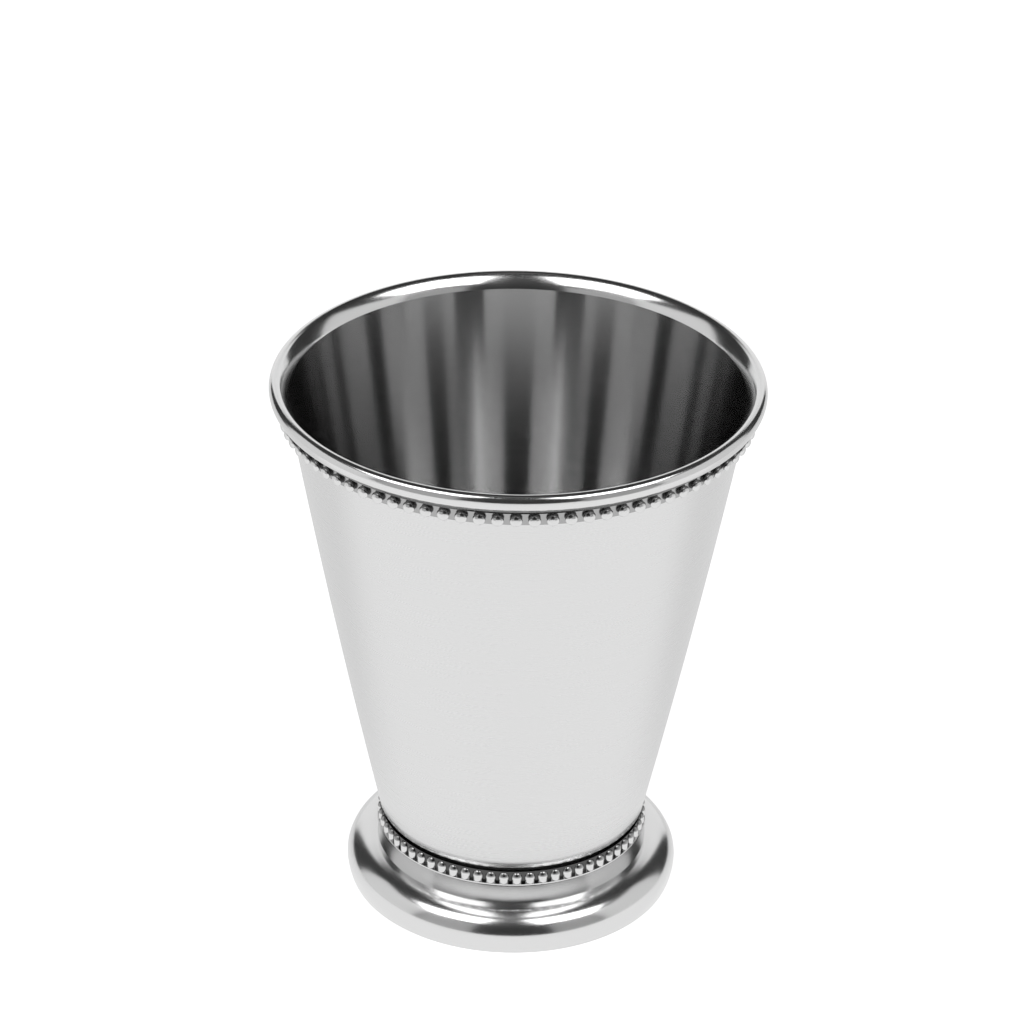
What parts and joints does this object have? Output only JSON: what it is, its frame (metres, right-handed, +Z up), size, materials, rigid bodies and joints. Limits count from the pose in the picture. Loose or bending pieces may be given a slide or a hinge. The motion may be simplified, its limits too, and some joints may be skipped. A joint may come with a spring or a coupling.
{
  "type": "julep cup",
  "caption": "Tapered metal julep cup with a rolled lip, beaded borders under the rim and above the foot, and a hollow half-round foot; holds a cold mixed drink over crushed ice.",
  "frame": {"origin": "on the floor, at the middle of the foot", "axes": "+Z up along the cup's axis, through the mouth; the cup is round, so X and Y may point any way"},
  "size_m": [0.09, 0.09, 0.1045],
  "materials": {
    "satin_steel": "satin outside, brushed in rings inside",
    "polished_steel": "buffed to a soft mirror",
    "tin_solder": "dull, as it froze"
  },
  "bodies": {
    "root": {"cup_body": "satin_steel", "rim_moulding": "polished_steel", "rim_bead_wire": "polished_steel", "foot_ring": "polished_steel", "foot_bead_wire": "polished_steel", "foot_solder": "tin_solder"}
  },
  "joints": []
}
